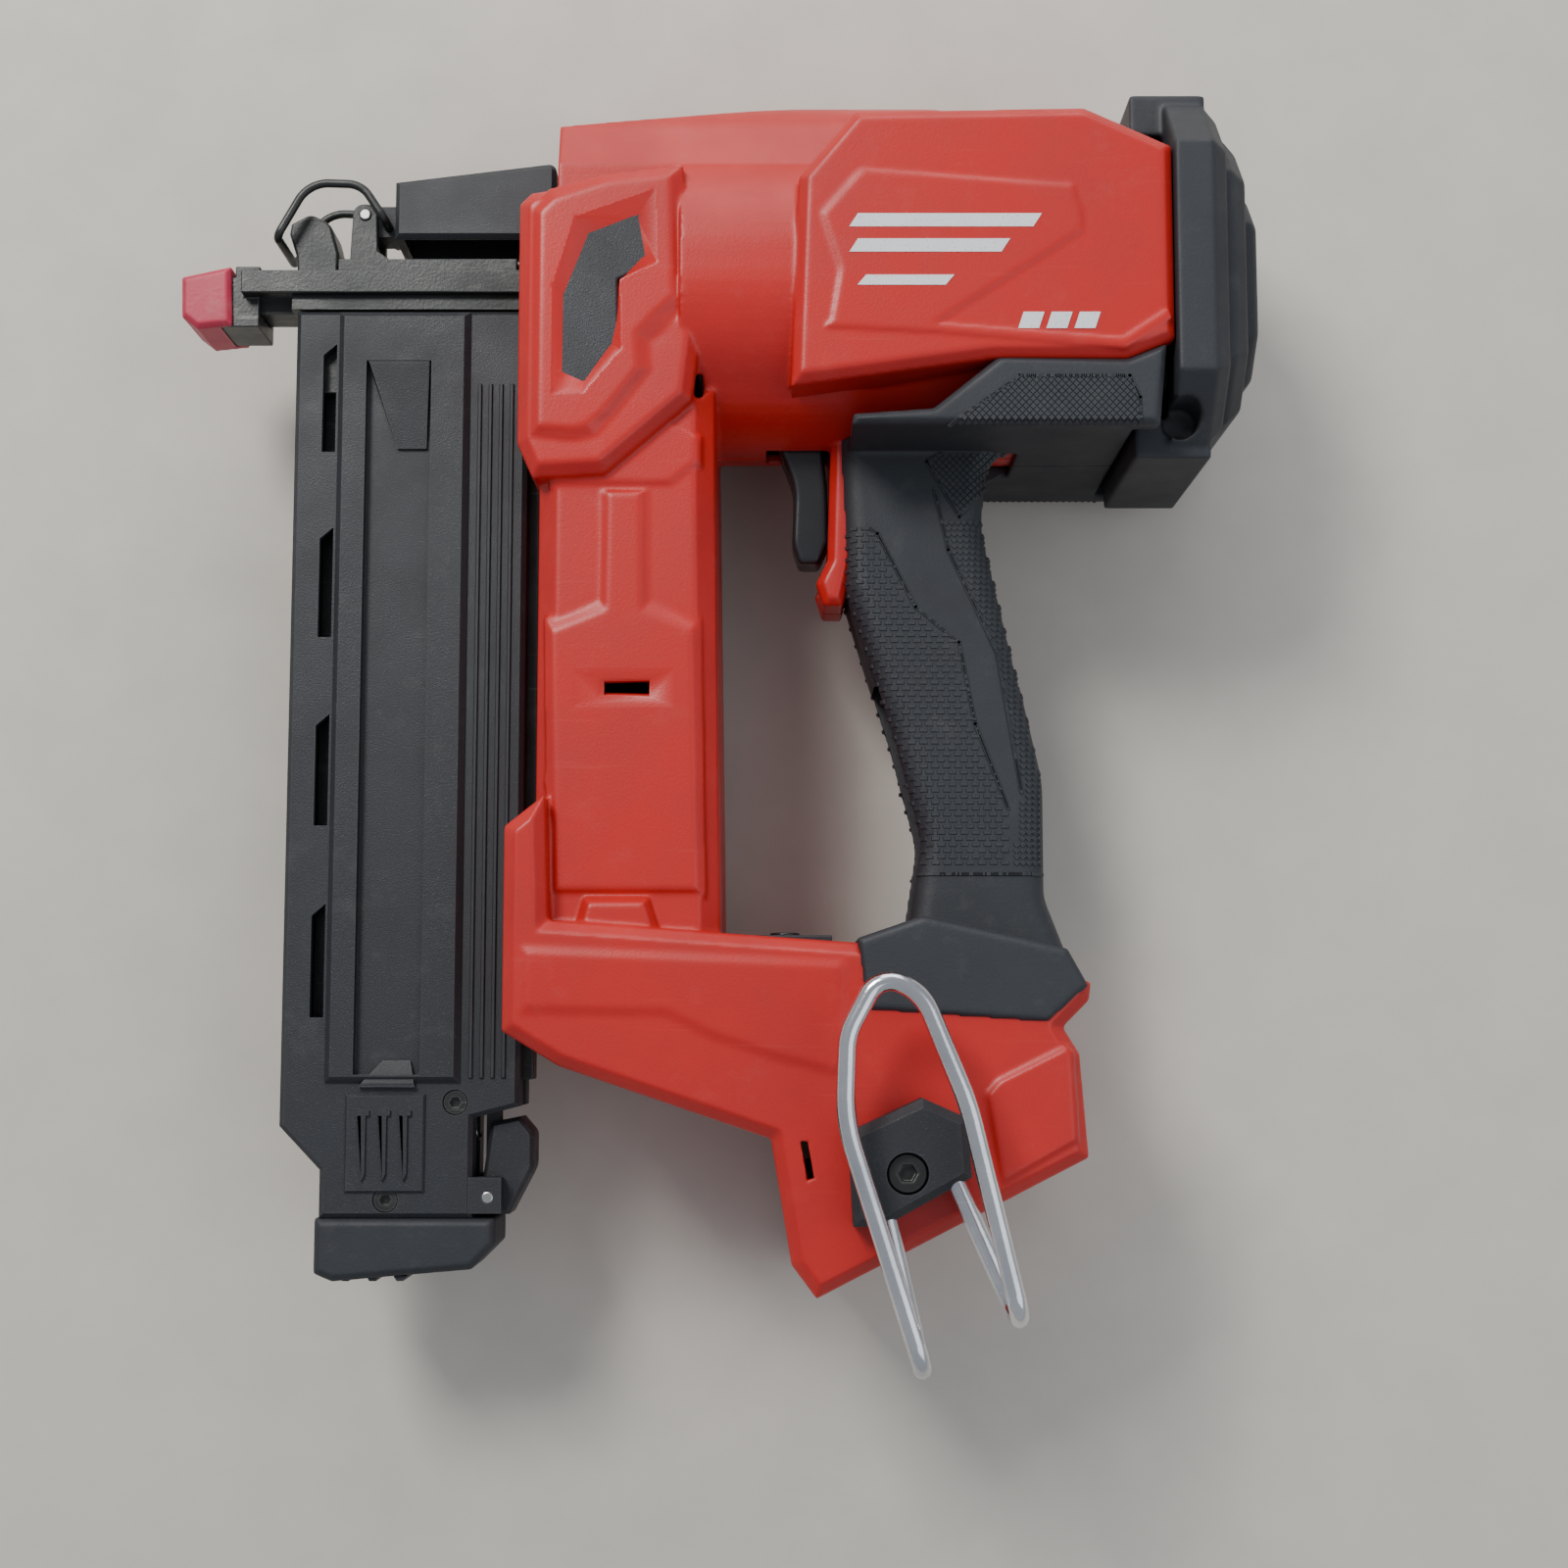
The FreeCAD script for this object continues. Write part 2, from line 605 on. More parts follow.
def build_housing():
    forms = housing_forms()
    handle = form("handle_form", handle_outline("grip_skin"), "0", "handle_half", "4")
    strip = form("trigger_strip_form", [
        ("trigger_x+6", "-barrel_low+4"),
        ("trigger_x+5", "-barrel_low-30"),
        ("trigger_x+2", "-barrel_low-36"),
        ("trigger_x+4", "-barrel_low-42"),
        ("trigger_x+9", "-barrel_low-42"),
        ("handle_front+grip_skin+2", "-barrel_low-20"),
        ("handle_front+grip_skin+2", "-barrel_low+4"),
    ], "0", "handle_half", "2")
    outer = joined("half_form", forms + [handle, strip])

    hollows = body("barrel_hollow")
    slab(hollows, [
        ("-barrel_low+wall", "-1"),
        ("-barrel_low+wall", "barrel_half-barrel_bevel-1", "31"),
        ("-barrel_low+barrel_bevel+1", "barrel_half-wall", "31"),
        ("barrel_top-barrel_bevel-1", "barrel_half-wall", "31"),
        ("barrel_top-wall", "barrel_half-barrel_bevel-1", "31"),
        ("barrel_top-wall", "-1"),
    ], "front_right-1+wall", "side_rear+1", "YZ")
    throat = body("throat")
    slab(throat, box("front_right-wall-1", "front_right+wall", "-25", "front_top-5"), "-1", "30")
    crown_hollow = body("crown_hollow")
    slab(crown_hollow, [
        ("-barrel_front+wall", "0"),
        ("-barrel_front+wall", "barrel_top-wall"),
        ("barrel_front", "crown_top-6-wall"),
        ("barrel_rear-74", "crown_top-wall"),
        ("barrel_rear-49", "crown_top-2-wall"),
        ("barrel_rear-44", "barrel_top+2-wall"),
        ("barrel_rear-12", "barrel_top-4-wall"),
        ("barrel_rear-12", "0"),
    ], "-1", "crown_hollow")
    front_hollow = body("front_hollow")
    slab(front_hollow, [
        ("-front_left+wall", "-front_low+9+wall"),
        ("-front_left+wall", "front_top-wall-1"),
        ("front_right-wall", "front_top-wall+2"),
        ("front_right-wall+3", "-front_low+22"),
        ("front_right-22", "-front_low+wall+1"),
        ("-front_left+4+wall", "-front_low+wall+1"),
    ], "-1", "front_half-wall")
    column_hollow = body("column_hollow")
    slab(column_hollow, box("-column_left+wall", "column_right-wall", FOOT_TOP + "-14", "-front_low+30"),
         "-1", "column_half-2.5")
    foot_hollow = body("foot_hollow")
    slab(foot_hollow, [
        ("-foot_left+wall+1", FOOT_TOP + "-wall-1"),
        ("foot_rear-10", FOOT_TOP + "-16"),
        ("foot_rear-14", FOOT_TOP + "-28"),
        ("foot_rear-14", FOOT_TOP + "-36"),
        ("bay_x+16", "-bay_drop+bay_deep+16"),
        ("bay_x-2", "-bay_drop+bay_deep+12"),
        ("bay_x-6", "-bay_drop+44"),
        ("-foot_left+wall+14", FOOT_TOP + "-31"),
        ("-foot_left+wall+1", FOOT_TOP + "-24"),
    ], "-1", "foot_half-wall")
    handle_hollow = body("handle_hollow")
    slab(handle_hollow, [
        ("handle_front+8", "-barrel_low+6"),
        ("handle_front+8", "-barrel_low-37"),
        ("handle_front+handle_rake+4", FOOT_TOP + "+49"),
        ("handle_front+handle_rake+10", FOOT_TOP + "+20"),
        ("handle_front+handle_rake+6", FOOT_TOP + "-16"),
        ("handle_rear+8", FOOT_TOP + "-16"),
        ("handle_rear+7", FOOT_TOP + "+20"),
        ("handle_rear+3", FOOT_TOP + "+49"),
        ("handle_rear-9", "-barrel_low-30"),
        ("handle_rear-9", "-barrel_low+6"),
    ], "-1", "handle_half-wall")
    mouth = body("nose_mouth")
    slab(mouth, box("-front_left-2", "-barrel_front+wall+1", "-nose_low-6", "crown_top+1"), "-1", MOUTH_HALF)
    channel = body("magazine_channel")
    slab(channel, box("-foot_left-2", "-front_left+2.5", "-bay_drop-10", "-nose_low"), "-1", "cover_half+1")
    finger = body("trigger_slot")
    slab(finger, box("trigger_x-11", "trigger_x+13.8", "-barrel_low-38", "-trigger_drop+6"),
         "-1", "trigger_half+0.6")
    cap_seat = body("cap_seat")
    slab(cap_seat, box("barrel_rear", "side_rear+1", "-cap_half-0.2", "cap_half+0.2"), "-1", "cap_half+1.2")
    vent = body("vent_slot")
    slab(vent, box("lifter_x-vent_long*0.5", "lifter_x+vent_long*0.5", "-vent_drop-vent_high", "-vent_drop"),
         "column_half-6", "column_half+1")
    slab(vent, box("lifter_x-vent_long*0.5-2.5", "lifter_x+vent_long*0.5+2.5",
                   "-vent_drop-vent_high-1", "-vent_drop+1"), "column_half-1", "column_half+1")
    bay = tilted_box("bay_space", ("6", "bay_long+30"), ("rail_lip", "bay_deep"), "bay_half")
    bay_mouth = tilted_box("bay_mouth", ("6", "bay_long+30"), ("-20", "rail_lip"), "bay_half-3")
    panel_seat = body("panel_seat")
    slab(panel_seat, panel_outline("0"), "front_half-1.6", "front_half+1")
    hook_seat = body("hook_seat")
    disc(hook_seat, ("hook_x", "-hook_drop"), "insert_radius", "foot_half-insert_long", "foot_half+1")
    button_well = body("button_well")
    slab(button_well, box("panel_x-12", "panel_x+12", FOOT_TOP + "-8", FOOT_TOP + "+2"), "-1", "12")
    cap_thread = body("cap_thread")
    for sign in ("", "-"):
        disc(cap_thread, (f"{sign}cap_screw", "cap_screw"), "screw_radius+run_gap", "barrel_rear-18",
             "barrel_rear+1", "YZ")
    pins = body("pin_holes")
    disc(pins, ("trigger_x", "-trigger_drop"), "pin_small", "-1", "trigger_half+4")
    cuts = [hollows, throat, crown_hollow, front_hollow, column_hollow, foot_hollow, handle_hollow, mouth,
            channel, finger, cap_seat, vent, bay, bay_mouth, panel_seat, button_well]
    shell = joined("half_shell", [less("half_hollowed", outer, cuts)] + screw_bosses())
    shell = less("half_drilled", shell, [hook_seat, pins, cap_thread])
    blind, through = [], []
    for number, (x, y, _) in enumerate(SCREW_SPOTS):
        thread = body(f"thread_hole_{number}")
        disc(thread, (x, y), "screw_radius+run_gap", "-1", "screw_long-screw_seat+0.5")
        blind.append(thread)
        passage = body(f"screw_passage_{number}")
        disc(passage, (x, y), "screw_radius+run_gap", "-1", "screw_seat+1")
        disc(passage, (x, y), "screw_head+0.3", "screw_seat", "foot_half+1")
        through.append(passage)
    keep("housing_left", less("housing_left", shell, blind))
    keep("housing_right", mirrored("housing_right", less("right_source", shell, through)))
    heads = [((x, y, "-screw_seat"), V(0, 0, -1)) for x, y, _ in SCREW_SPOTS]
    for y, z in CORNERS:
        heads.append((("barrel_rear+cap_thick", f"{y}cap_screw", f"{z}cap_screw"), V(1, 0, 0)))
    fasteners("housing_screws", heads, "screw_head", "2", "screw_radius", "screw_long")
    return forms, handle, strip


def screw_bosses():
    """The posts that the housing screws pass through, one under each screw."""
    posts = []
    for number, (x, y, top) in enumerate(SCREW_SPOTS):
        post = body(f"screw_post_{number}")
        disc(post, (x, y), "screw_head+1.6", "0", top)
        posts.append(post)
    for number, sign in enumerate(("", "-")):
        post = body(f"cap_screw_post_{number}")
        disc(post, (f"{sign}cap_screw", "cap_screw"), "3.4", "barrel_rear-20", "barrel_rear", "YZ")
        posts.append(post)
    post = body("insert_post")
    disc(post, ("hook_x", "-hook_drop"), "insert_radius+2.5", "bay_half+0.5", "foot_half")
    posts.append(post)
    return posts


def panel_outline(inset):
    """The dark panel let into each side of the front block."""
    return [
        (f"-front_left+9.5+{inset}", f"-front_low+20.7+{inset}"),
        (f"-front_left+9.5+{inset}", f"front_top-25.8"),
        (f"-front_left+14.8+{inset}", f"front_top-8.3-{inset}"),
        (f"front_right-7.8-{inset}", f"front_top-1.3-{inset}"),
        (f"front_right-7.2-{inset}", f"front_top-19.4+{inset}"),
        (f"front_right-16.6-{inset}", f"front_top-23.7+{inset}"),
        (f"front_right-16-{inset}", f"-front_low+32.4"),
        (f"-front_left+16.7", f"-front_low+21.2+{inset}"),
    ]


# Each screw that joins the halves: x, y and the top of its post.
SCREW_SPOTS = [
    ("barrel_rear-92", "crown_top-8.2", "crown_hollow+2"),
    ("barrel_rear-60", "crown_top-8.2", "crown_hollow+2"),
    ("-column_left+wall+4", FOOT_TOP + "+36", "column_half-1"),
    ("column_right-wall-4", FOOT_TOP + "+36", "column_half-1"),
    ("-foot_left+14", FOOT_TOP + "-16", "foot_half-1"),
    ("foot_rear-24", FOOT_TOP + "-24", "foot_half-1"),
]
CORNERS = [("", ""), ("-", ""), ("", "-"), ("-", "-")]


# ---------------------------------------------------------------- soft grip, panels, rear end
def build_covers(forms, handle, strip):
    grip = form("grip_form", handle_outline("0"), "0", "handle_half+grip_skin", "6", "Fillet")
    patch = form("grip_patch", [
        ("handle_front+1", "-barrel_low-2"),
        ("handle_front+1.6", "1-barrel_low"),
        ("handle_front+21.5", "2.4-barrel_low"),
        ("handle_front+38", "-barrel_low+15.7"),
        ("side_rear-12", "-barrel_low+15"),
        ("side_rear-2", "-barrel_low+19"),
        ("side_rear-4", "-barrel_low-2"),
    ], "0", "barrel_half+1.6", "1.5")
    collar = form("grip_collar", [
        ("handle_front+2", FOOT_TOP + "-3.5"),
        ("handle_front+4", FOOT_TOP + "-21"),
        ("foot_rear-9", FOOT_TOP + "-24"),
        ("foot_rear+1", FOOT_TOP + "-15"),
        ("foot_rear-4", FOOT_TOP + "-6"),
        ("handle_front+18", FOOT_TOP + "+2"),
    ], "0", "foot_half+1.2", "1.2")
    outer = joined("grip_outer", [grip, patch, collar])
    slot = body("grip_trigger_slot")
    slab(slot, box("trigger_x-11", "trigger_x+13.8", "-barrel_low-38", "-trigger_drop+6"),
         "-1", "trigger_half+0.6")
    rear_room = body("grip_rear_room")
    slab(rear_room, box("barrel_rear", "side_rear+1", "-60", "60"), "-1", "cap_half+1.2")
    hollow = body("grip_hollow")
    slab(hollow, box("handle_front+8", "handle_rear+8", FOOT_TOP + "-20", "-barrel_low+6"), "-1", "handle_half-1")
    half = less("grip_half", outer, forms + [handle, strip, slot, rear_room, hollow])
    keep("grip_left", largest("grip_left", half))
    keep("grip_right", mirrored("grip_right", NODES["grip_left"]))

    panel = form("side_panel_left", panel_outline("0.2"), "front_half-1.6", "front_half-0.3", "0.4")
    pack_of("side_panels", [panel, mirrored("side_panel_right", panel)])

    cap = form("rear_cap", octagon("cap_half", "cap_half", "12"), "barrel_rear", "barrel_rear+cap_thick",
               plane="YZ")
    slab(cap, octagon("cap_half", "cap_half", "12", "-1"), "barrel_rear", "barrel_rear+cap_thick", "YZ")
    disc(cap, ("0", "0"), "tank_radius-3", "barrel_rear+cap_thick", "barrel_rear+cap_thick+8", "YZ")
    for y, z in CORNERS:
        disc(cap, (f"{y}cap_screw", f"{z}cap_screw"), "screw_radius+run_gap", "barrel_rear-1",
             "barrel_rear+cap_thick+1", "YZ", cut=True)
    keep("rear_cap", cap)
    build_bumper()


def octagon(y_half, z_half, cut, side="1"):
    """Half of an octagon in Y and Z, on the side of the parting plane that the sign gives."""
    return [
        (f"-({y_half})", "0"),
        (f"-({y_half})", f"{side}*(({z_half})-({cut}))"),
        (f"-({y_half})+({cut})", f"{side}*({z_half})"),
        (f"({y_half})-({cut})", f"{side}*({z_half})"),
        (f"({y_half})", f"{side}*(({z_half})-({cut}))"),
        (f"({y_half})", "0"),
    ]


def whole_octagon(y_half, z_half, cut):
    top = octagon(y_half, z_half, cut)[1:5]
    return top + [(y, f"-({z})") for y, z in reversed(top)]


def build_bumper():
    bumper = body("rear_bumper")
    slab(bumper, whole_octagon("bumper_high-3.5", "bumper_half", "15"), "side_rear+0.3", "bumper_rear-11", "YZ")
    bevel(bumper, "4", at_height("bumper_rear-11", "x"))
    slab(bumper, whole_octagon("bumper_high-10", "bumper_half-7", "14"), "bumper_rear-12", "bumper_rear-5", "YZ")
    bevel(bumper, "4", at_height("bumper_rear-5", "x"))
    slab(bumper, whole_octagon("bumper_high-22", "bumper_half-19", "11"), "bumper_rear-6", "bumper_rear", "YZ")
    bevel(bumper, "4", at_height("bumper_rear", "x"), "Fillet")
    for sign in ("", "-"):
        low, high = ("cap_half+1", "bumper_high") if not sign else ("-bumper_high", "-cap_half-1")
        slab(bumper, box("barrel_rear+1.5", "bumper_rear-14", low, high), "-bumper_half+16", "bumper_half-16")
    slab(bumper, whole_octagon("cap_half+0.1", "cap_half+0.1", "12"), "side_rear", "side_rear+0.5", "YZ", cut=True)
    disc(bumper, ("0", "0"), "tank_radius-2.9", "side_rear-1", "barrel_rear+cap_thick+8", "YZ", cut=True)
    for low, high in (("-barrel_half", "-bumper_half+19"), ("bumper_half-19", "barrel_half")):
        disc(bumper, ("side_rear+3", "-bumper_high+9"), "boss_radius", low, high, cut=True)
    keep("rear_bumper", bumper)


def largest(name, source):
    """Only the biggest solid of a cut, without the loose scraps beside it."""
    solids = sorted(source.Shape.Solids, key=lambda s: s.Volume)
    made = doc.addObject("Part::Feature", name)
    made.Shape = solids[-1]
    return made


# ---------------------------------------------------------------- gas spring and driver
def build_drive():
    tank = body("gas_cylinder")
    disc(tank, ("0", "0"), "tank_radius", "tank_front+plate_thick", "tank_rear", "YZ", bore=TANK_IN)
    disc(tank, ("0", "0"), "tank_radius", "tank_rear", "barrel_rear", "YZ", bore="5")
    keep("gas_cylinder", tank)

    plate = form("cylinder_front_plate", whole_octagon("tank_radius+2", "tank_radius+2", "16"),
                 "tank_front", "tank_front+plate_thick", "1", plane="YZ")
    slab(plate, box("-3.5", "3.5", "-channel_down-1", "channel_up+1"), "tank_front-1",
         "tank_front+plate_thick+1", "YZ", cut=True)
    keep("cylinder_front_plate", plate)

    sleeve = body("cylinder_sleeve")
    disc(sleeve, ("0", "0"), "bore_radius+sleeve_wall", "tank_front+plate_thick", "tank_rear-2", "YZ",
         bore="bore_radius")
    for plane in ("XY", "XZ"):
        slab(sleeve, box("tank_rear-8", "tank_rear-3", "-2.5", "2.5"), "-tank_radius", "tank_radius", plane,
             cut=True)
    keep("cylinder_sleeve", sleeve)

    cushion = body("driver_cushion")
    disc(cushion, ("0", "0"), "bore_radius-0.4", "tank_front+plate_thick",
         "tank_front+plate_thick+cushion_long-0.3", "YZ", bore="8")
    keep("driver_cushion", cushion)

    piston = body("piston")
    turned(piston, [
        (PISTON_FRONT, "0"),
        (PISTON_FRONT, "bore_radius-1"),
        (PISTON_FRONT + "+1", "bore_radius-0.25"),
        (PISTON_FRONT + "+3", "bore_radius-0.25"),
        (PISTON_FRONT + "+3", "bore_radius-2.4"),
        (PISTON_FRONT + "+5.4", "bore_radius-2.4"),
        (PISTON_FRONT + "+5.4", "bore_radius-0.25"),
        (PISTON_FRONT + "+7.4", "bore_radius-0.25"),
        (PISTON_FRONT + "+7.4", "bore_radius-2.4"),
        (PISTON_FRONT + "+9.8", "bore_radius-2.4"),
        (PISTON_FRONT + "+9.8", "bore_radius-0.25"),
        (PISTON_FRONT + "+piston_long", "bore_radius-0.25"),
        (PISTON_FRONT + "+piston_long", "0"),
    ])
    slab(piston, box(PISTON_FRONT + "-1", PISTON_FRONT + "+7", "-blade_thick*0.5", "blade_thick*0.5"),
         "-1.2", "4.5", cut=True)
    keep("piston", piston)

    seals = []
    for number, start in enumerate(("+3.05", "+7.45")):
        ring = body(f"seal_{number}")
        disc(ring, ("0", "0"), "bore_radius-seal_gap", PISTON_FRONT + start, PISTON_FRONT + start + "+2.3",
             "YZ", bore="bore_radius-2.35")
        seals.append(ring)
    pack_of("piston_seals", seals)

    blade = body("driver_blade")
    wide_from = BLADE_TIP + "+23"
    slab(blade, box(wide_from, PISTON_FRONT + "+6.9", "-1.2", "4.5"), "-blade_thick*0.5", "blade_thick*0.5",
         "XZ")
    slab(blade, box(BLADE_TIP, wide_from + "+1", "-0.65", "0.65"), "-blade_thick*0.5", "blade_thick*0.5", "XZ")
    first = "lifter_x+pin_radius+0.6"
    tooth = slab(blade, [
        (first, "-1"),
        (first + "+0.5", "-1.2-tooth_high"),
        (first + "+tooth_wide-0.5", "-1.2-tooth_high"),
        (first + "+tooth_wide", "-1"),
    ], "-blade_thick*0.5", "blade_thick*0.5", "XZ")
    row = blade.newObject("PartDesign::LinearPattern", "blade_teeth")
    row.Originals = [tooth]
    row.Direction = (plane_axis(blade, "X_Axis"), [""])
    row.setExpression("Length", bound("tooth_pitch*(lifter_places-2)"))
    row.setExpression("Occurrences", bound("lifter_places-1"))
    blade.Tip = row
    doc.recompute()
    keep("driver_blade", blade)


def plane_axis(owner, role):
    return next(f for f in owner.Origin.OriginFeatures if f.Role == role)


# ---------------------------------------------------------------- lifter, gear train, motor
def build_lifter():
    wheel = body("lifter_wheel")
    disc(wheel, SHAFT, WHEEL_RADIUS, "disc_gap", DISC_TOP, "XZ")
    disc(wheel, SHAFT, "6", "-disc_gap-0.5", "disc_gap+0.5", "XZ")
    disc(wheel, SHAFT, WHEEL_RADIUS, "-" + DISC_TOP, "-disc_gap", "XZ")
    disc(wheel, SHAFT, "shaft_radius", DISC_TOP + "-0.5", DISC_TOP + "+5", "XZ")
    disc(wheel, SHAFT, "shaft_radius", "-" + DISC_TOP + "-7", "-" + DISC_TOP + "+0.5", "XZ")
    hole = disc(wheel, ("lifter_x", f"{LIFTER_Z}+{LIFTER_RADIUS}"), "pin_radius", "-" + DISC_TOP + "-1",
                DISC_TOP + "+1", "XZ", cut=True)
    ring = wheel.newObject("PartDesign::PolarPattern", "pin_hole_ring")
    ring.Originals = [hole]
    axis = new_sketch(wheel, "XZ", (SHAFT[0], SHAFT[1], "0"))
    ring.Axis = (axis, ["N_Axis"])
    ring.Angle = 360
    ring.setExpression("Occurrences", bound("lifter_places"))
    wheel.Tip = ring
    doc.recompute()
    keep("lifter_wheel", wheel)

    places = int(val("lifter_places"))
    pins = []
    for number in range(places - 1):
        turn = 2 * math.pi * number / places
        x = val("lifter_x") + val(LIFTER_RADIUS) * math.sin(turn)
        z = val(LIFTER_Z) + val(LIFTER_RADIUS) * math.cos(turn)
        place = FreeCAD.Placement(V(x, -val(DISC_TOP), z), FreeCAD.Rotation(V(0, 0, 1), V(0, 1, 0)))
        pins.append(primitive("Cylinder", f"lifter_pin_{number}", place, Radius="pin_radius",
                              Height=DISC_TOP + "*2"))
    pack_of("lifter_pins", pins)


# Levels down the column, measured from the drive axis.
LOW_BEARING = "(disc_gap+disc_thick+1.5)"
CARRIER = "(disc_gap+disc_thick+7)"
GEARS = "(disc_gap+disc_thick+10.5)"
GEAR_DEEP = "8"
CASE_END = "(disc_gap+disc_thick+28)"
MOTOR_END = "(disc_gap+disc_thick+79)"


def gear(name, teeth, centre, top, deep, bore, shift):
    """A spur gear about a Y-parallel axis, with its teeth from the named module."""
    radius = val("gear_module") * teeth / 2
    wire = gear_outline(teeth, radius, radius + val("gear_module") * 0.8, radius - val("gear_module"), shift)
    made = doc.addObject("Part::Feature", name)
    solid = Part.Face(wire).extrude(V(0, -deep, 0))
    if bore:
        solid = solid.cut(Part.makeCylinder(bore, deep + 2, V(0, 1, 0), V(0, -1, 0)))
    made.Shape = solid
    made.Placement = FreeCAD.Placement(V(centre.x, top, centre.z), FreeCAD.Rotation())
    return made


def build_gears():
    axis = V(val("lifter_x"), 0, val(LIFTER_Z))
    sun_teeth, ring_teeth = int(val("sun_teeth")), int(val("ring_teeth"))
    planet_teeth = (ring_teeth - sun_teeth) // 2
    module = val("gear_module")
    top = -val(GEARS)
    deep = val(GEAR_DEEP)
    reach = module * (sun_teeth + planet_teeth) / 2

    case = body("gear_case")
    disc(case, SHAFT, "case_radius", "-" + CASE_END, "-disc_gap-disc_thick-0.8", "XZ")
    disc(case, SHAFT, "case_radius-2", "-" + CASE_END + "+5", "-" + CARRIER + "+0.8", "XZ", cut=True)
    disc(case, SHAFT, "shaft_radius+run_gap+0.5", "-" + CARRIER, "-disc_gap", "XZ", cut=True)
    disc(case, SHAFT, "3.2", "-" + CASE_END + "-1", "-" + CASE_END + "+6", "XZ", cut=True)
    keep("gear_case", case)

    bridge = body("lifter_bridge")
    slab(bridge, box("lifter_x-11", "lifter_x+11", "-front_half+wall+0.3", LIFTER_Z + "+8"),
         DISC_TOP + "+0.8", DISC_TOP + "+5", "XZ")
    slab(bridge, box("lifter_x-9", "lifter_x+9", "-front_half+wall+0.3", "-front_half+wall+1.7"),
         "-disc_gap-disc_thick-10", DISC_TOP + "+5", "XZ")
    disc(bridge, SHAFT, "shaft_radius+run_gap", DISC_TOP, DISC_TOP + "+6", "XZ", cut=True)
    keep("lifter_bridge", bridge)

    ring_pitch = module * ring_teeth / 2
    inner = gear_outline(ring_teeth, ring_pitch, ring_pitch - module * 0.8, ring_pitch + module, 0)
    ring = doc.addObject("Part::Feature", "ring_gear")
    blank = Part.makeCylinder(val("case_radius-2"), deep + 1, V(0, 0.5, 0), V(0, -1, 0))
    ring.Shape = blank.cut(Part.Face(inner).extrude(V(0, -deep - 4, 0)).translated(V(0, 2, 0)))
    ring.Placement = FreeCAD.Placement(V(axis.x, top, axis.z), FreeCAD.Rotation())
    keep("ring_gear", ring)

    carrier = body("planet_carrier")
    disc(carrier, SHAFT, "gear_module*ring_teeth*0.5-1", "-" + GEARS + "+0.8", "-" + CARRIER, "XZ")
    disc(carrier, SHAFT, "shaft_radius", "-" + CARRIER + "-0.5", "-" + DISC_TOP + "-7", "XZ")
    posts = []
    for number in range(3):
        turn = 2 * math.pi * number / 3
        centre = V(axis.x + reach * math.sin(turn), 0, axis.z + reach * math.cos(turn))
        place = FreeCAD.Placement(V(centre.x, top - deep, centre.z), FreeCAD.Rotation(V(0, 0, 1), V(0, 1, 0)))
        posts.append(primitive("Cylinder", f"planet_post_{number}", place, Radius="1.2",
                               Height=GEAR_DEEP + "+1.2"))
        planet = gear(f"planet_gear_{number + 1}", planet_teeth, centre, top, deep,
                      1.2 + val("run_gap"), math.pi / planet_teeth)
        keep(planet.Name, planet)
    keep("planet_carrier", joined("planet_carrier_whole", [carrier] + posts))


def build_motor():
    stator = body("motor_stator")
    disc(stator, SHAFT, "motor_radius", "-" + MOTOR_END + "+4", "-" + CASE_END, "XZ",
         bore="rotor_radius+air_gap")
    disc(stator, SHAFT, "motor_radius", "-" + MOTOR_END, "-" + MOTOR_END + "+4", "XZ", bore="5")
    keep("motor_stator", stator)

    rotor = body("motor_rotor")
    turned(rotor, [
        ("0", "-" + MOTOR_END + "-11"),
        ("2", "-" + MOTOR_END + "-11"),
        ("2", "-" + MOTOR_END + "+7"),
        ("rotor_radius", "-" + MOTOR_END + "+8"),
        ("rotor_radius", "-" + CASE_END + "-4"),
        ("2", "-" + CASE_END + "-3"),
        ("2", "-" + GEARS + "-" + GEAR_DEEP + "-0.5"),
        ("0", "-" + GEARS + "-" + GEAR_DEEP + "-0.5"),
    ], SHAFT, "V_Axis")
    keep("motor_rotor", rotor)
    sun_teeth = int(val("sun_teeth"))
    axis = V(val("lifter_x"), 0, val(LIFTER_Z))
    sun = gear("sun_gear", sun_teeth, axis, -val(GEARS) - 0.3, val(GEAR_DEEP) + 0.2, 0, 0)
    keep("sun_gear", sun)

    fan = body("motor_fan")
    disc(fan, SHAFT, "4", "-" + MOTOR_END + "-9", "-" + MOTOR_END + "-2", "XZ", bore="2")
    disc(fan, SHAFT, "motor_radius-1", "-" + MOTOR_END + "-3.5", "-" + MOTOR_END + "-2", "XZ", bore="2")
    blade = slab(fan, box("lifter_x-0.6", "lifter_x+0.6", LIFTER_Z + "+3.5", LIFTER_Z + "+motor_radius-1.5"),
                 "-" + MOTOR_END + "-9", "-" + MOTOR_END + "-3", "XZ")
    blades = fan.newObject("PartDesign::PolarPattern", "fan_blades")
    blades.Originals = [blade]
    axis_sketch = new_sketch(fan, "XZ", (SHAFT[0], SHAFT[1], "0"))
    blades.Axis = (axis_sketch, ["N_Axis"])
    blades.Angle = 360
    blades.Occurrences = 9
    fan.Tip = blades
    doc.recompute()
    keep("motor_fan", fan)

    rings = []
    for number, (low, high, outer, inner) in enumerate((
            ("-" + MOTOR_END, "-" + MOTOR_END + "+4", "5", "2"),
            ("-" + CASE_END, "-" + CASE_END + "+4", "3.2", "2"))):
        ring = body(f"bearing_{number}")
        disc(ring, SHAFT, outer, low, high, "XZ", bore=inner + "+run_gap")
        rings.append(ring)
    pack_of("motor_bearings", rings)


